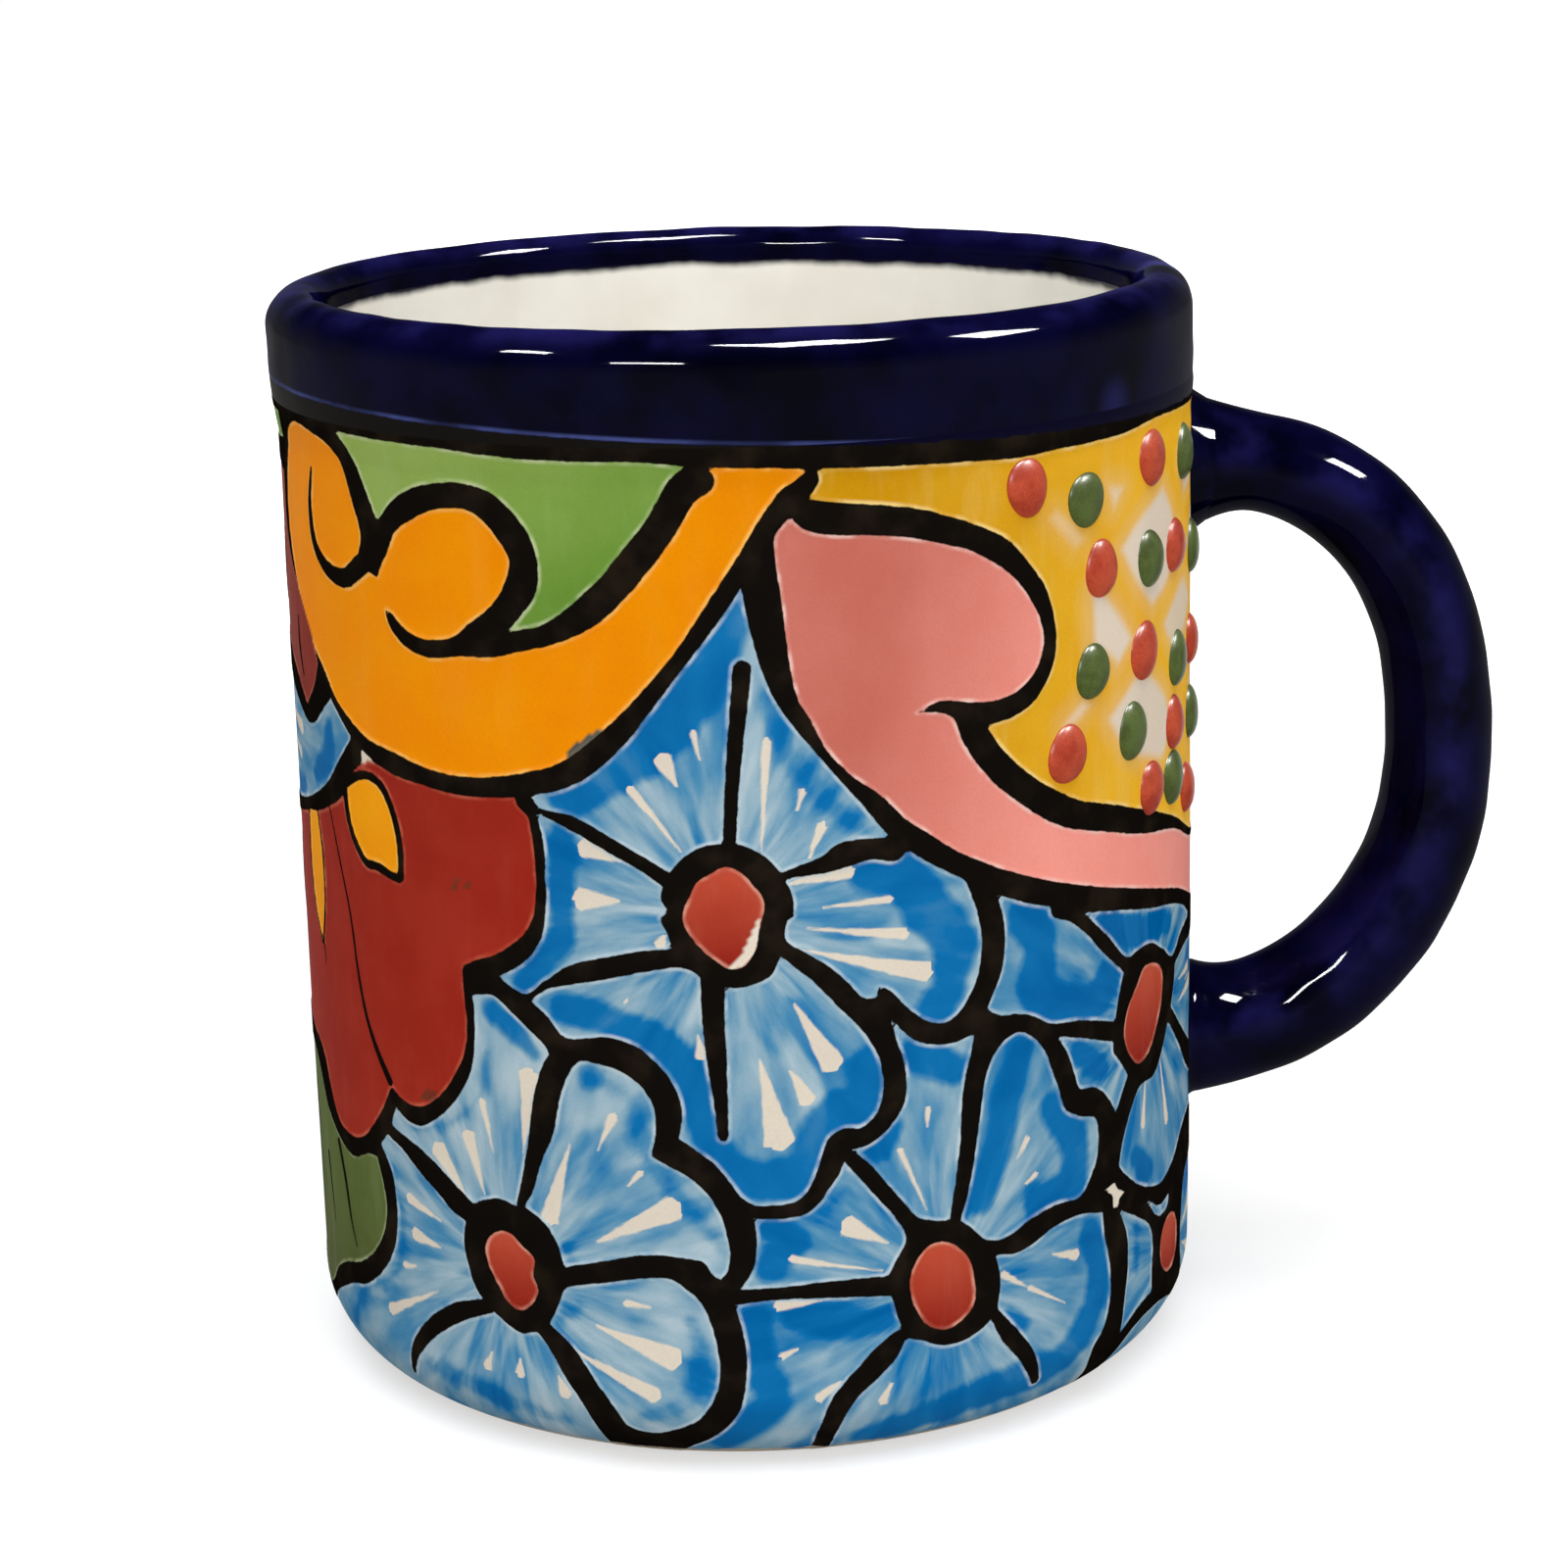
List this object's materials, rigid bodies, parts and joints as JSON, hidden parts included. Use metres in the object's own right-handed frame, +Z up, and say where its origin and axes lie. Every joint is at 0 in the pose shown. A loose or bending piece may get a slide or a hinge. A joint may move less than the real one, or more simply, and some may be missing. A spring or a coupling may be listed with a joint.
{
  "type": "mug",
  "caption": "Straight-sided painted earthenware mug with a rolled rim, a looped side handle and raised slip dots, for drinking from.",
  "frame": {"origin": "on the cup's axis, in the plane of the foot that the mug stands on", "axes": "+Z up along the cup's axis, out of the mouth; +X from the axis towards the handle"},
  "size_m": [0.1233, 0.0922, 0.109],
  "materials": {
    "clay": "bare fired earthenware, fine and slightly rough",
    "slip": "fired luting slip, hidden",
    "white_glaze": "glossy cream white glaze",
    "painted_glaze": "glossy clear glaze over painted scrolls, flowers and a lattice, with dark raised outlines",
    "cobalt_glaze": "glossy near-black cobalt glaze",
    "red_slip": "glossy raised red slip",
    "green_slip": "glossy raised green slip"
  },
  "bodies": {
    "root": {"cup_body": "clay", "handle": "clay", "upper_slip": "slip", "lower_slip": "slip", "lining_glaze": "white_glaze", "wall_glaze": "painted_glaze", "rim_glaze": "cobalt_glaze", "handle_glaze": "cobalt_glaze", "red_dots": "red_slip", "green_dots": "green_slip"}
  },
  "joints": []
}
